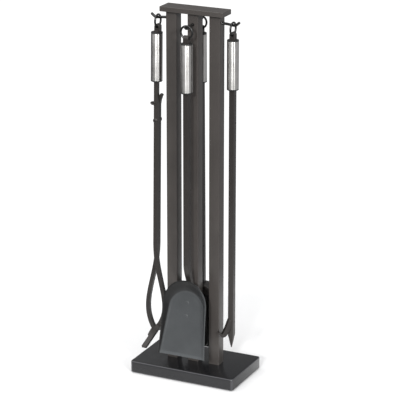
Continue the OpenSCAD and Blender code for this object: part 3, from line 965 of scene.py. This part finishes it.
def make_pivot():
    """A rivet with a domed head on each side."""
    front, back = -TONG - BAR_GAP, TONG + BAR_GAP + PIVOT_GAP
    dome = [(PIVOT_HEAD * math.cos(a), PIVOT_RISE * math.sin(a)) for a in map(math.radians, (8, 25, 45, 65))]
    profile = [(TIP, front - PIVOT_RISE)]
    profile += [(radius, front - rise) for radius, rise in dome[::-1]]
    profile += [(PIVOT_HEAD, front), (PIVOT_SHANK, front), (PIVOT_SHANK, back), (PIVOT_HEAD, back)]
    profile += [(radius, back + rise) for radius, rise in dome]
    profile.append((TIP, back + PIVOT_RISE))
    verts, faces = lathe(profile, 32, closed=False)
    drop = (TONGS.inverted() @ TONGS_PIVOT).z
    place = TONGS @ Matrix.Translation((0, 0, drop)) @ Matrix.Rotation(-math.pi / 2, 4, "X")
    piece("tongs_pivot_rivet", verts, faces, place, TOOL_BLACK, "tongs", ["tongs_rivet"])


def make_finger_tab():
    """A small oval tab with a shallow dish, on the front bar."""
    lo, hi = local_box("tongs_finger_tab", TONGS)
    wide, tall, thick = (hi.x - lo.x) / 2, (hi.z - lo.z) / 2, hi.y - lo.y
    verts, rings = [], []
    dish = ((0.02, 0.55), (0.5, 0.6), (0.72, 0.85), (0.86, 1), (0.95, 0.9), (1, 0.6), (1, 0), (0.02, 0))
    for share, level in dish:
        y = thick * (0.5 - level)
        add_ring(verts, rings, [
            (wide * share * math.cos(a), y, tall * share * math.sin(a)) for a in turns(32)
        ])
    faces = rings_to_faces(rings) + [tuple(rings[0]), tuple(rings[-1])]
    place = TONGS @ Matrix.Translation((lo + hi) / 2)
    piece("tongs_tab", verts, faces, place, TOOL_BLACK, "tongs", ["tongs_finger_tab"])


# ---- CAD parts that stay --------------------------------------------------------------

def finish_cad_parts():
    """The parts that keep their own meshes."""
    for node, finish in (
        ("base_feet", RUBBER), ("base_bolts", PLATED), ("base_washers", PLATED),
        ("post_plugs", PLATED), ("brush_block", WOOD),
    ):
        obj = frame["nodes"][node]
        obj.data.materials.clear()
        obj.data.materials.append(finish.material)


# ---- Studio ---------------------------------------------------------------------------

CAMERA_TURN = math.radians(25.68)
CAMERA_RISE = math.radians(18.26)
CAMERA_DISTANCE = 4.5
CAMERA_LENS = 182.3
CAMERA_TARGET = Vector((0.0094, 0.0045, 0.4098))
BACKDROP = 1.1
ROOM_LEFT, ROOM_RIGHT = 0.1, 0.56


def towards(turn, rise):
    """The way from the object to something round it. Turn 0 is in front, and grows to the right."""
    return Vector((math.sin(turn) * math.cos(rise), -math.cos(turn) * math.cos(rise), math.sin(rise)))


def make_camera():
    data = bpy.data.cameras.new("camera")
    data.lens = CAMERA_LENS
    data.clip_end = 100
    camera = bpy.data.objects.new("camera", data)
    way = towards(CAMERA_TURN, CAMERA_RISE)
    camera.location = CAMERA_TARGET + way * CAMERA_DISTANCE
    camera.rotation_euler = way.to_track_quat("Z", "Y").to_euler()
    bpy.context.scene.collection.objects.link(camera)
    bpy.context.scene.camera = camera


def make_sun(name, turn, rise, strength, softness):
    """A distant light. Its turn, rise and width are in degrees."""
    data = bpy.data.lights.new(name, "SUN")
    data.energy = strength
    data.angle = math.radians(softness)
    sun = bpy.data.objects.new(name, data)
    sun.rotation_euler = towards(math.radians(turn), math.radians(rise)).to_track_quat("Z", "Y").to_euler()
    bpy.context.scene.collection.objects.link(sun)


def make_floor(radius=0.62, steps=96):
    """A round pale floor."""
    mesh = bpy.data.meshes.new("floor")
    verts = [(radius * math.cos(a), radius * math.sin(a), 0) for a in turns(steps)]
    mesh.from_pydata(verts, [], [tuple(range(steps))])
    floor = bpy.data.objects.new("floor", mesh)
    bpy.context.scene.collection.objects.link(floor)
    finish = Finish("pale_floor", "", Roughness=0.9, Specular_IOR_Level=0.1)
    finish.set(Base_Color=finish.blend(finish.noise(3, 2), (0.73, 0.73, 0.73), (0.75, 0.75, 0.75)))
    mesh.materials.append(finish.material)


def make_world():
    """White behind the object, and a grey room round it, lighter on its right, to light it."""
    world = bpy.data.worlds.new("studio")
    bpy.context.scene.world = world
    world.use_nodes = True
    nodes, join = world.node_tree.nodes, world.node_tree.links.new
    nodes.clear()
    place = nodes.new("ShaderNodeTexCoord")
    across = nodes.new("ShaderNodeSeparateXYZ")
    level = nodes.new("ShaderNodeMapRange")
    for socket, number in zip(level.inputs[1:5], (-1, 1, ROOM_LEFT, ROOM_RIGHT)):
        socket.default_value = number
    room = nodes.new("ShaderNodeBackground")
    room.inputs["Color"].default_value = (0.97, 0.98, 1, 1)
    white = nodes.new("ShaderNodeBackground")
    white.inputs["Color"].default_value = (1, 1, 1, 1)
    white.inputs["Strength"].default_value = BACKDROP
    ray = nodes.new("ShaderNodeLightPath")
    mix = nodes.new("ShaderNodeMixShader")
    output = nodes.new("ShaderNodeOutputWorld")
    join(place.outputs["Generated"], across.inputs[0])
    join(across.outputs["X"], level.inputs[0])
    join(level.outputs[0], room.inputs["Strength"])
    join(ray.outputs["Is Camera Ray"], mix.inputs["Fac"])
    join(room.outputs[0], mix.inputs[1])
    join(white.outputs[0], mix.inputs[2])
    join(mix.outputs[0], output.inputs["Surface"])


def make_studio():
    make_camera()
    make_floor()
    make_world()
    make_sun("key_light", turn=10, rise=22, strength=2.0, softness=6)
    make_sun("side_light", turn=53, rise=22, strength=1.6, softness=6)
    make_sun("top_light", turn=-40, rise=66, strength=3.0, softness=100)
    bpy.context.scene.view_settings.view_transform = "Standard"


make_stand()
make_handles()
make_poker()
make_shovel()
make_brush()
make_tongs()
finish_cad_parts()
make_studio()

bpy.context.view_layer.update()
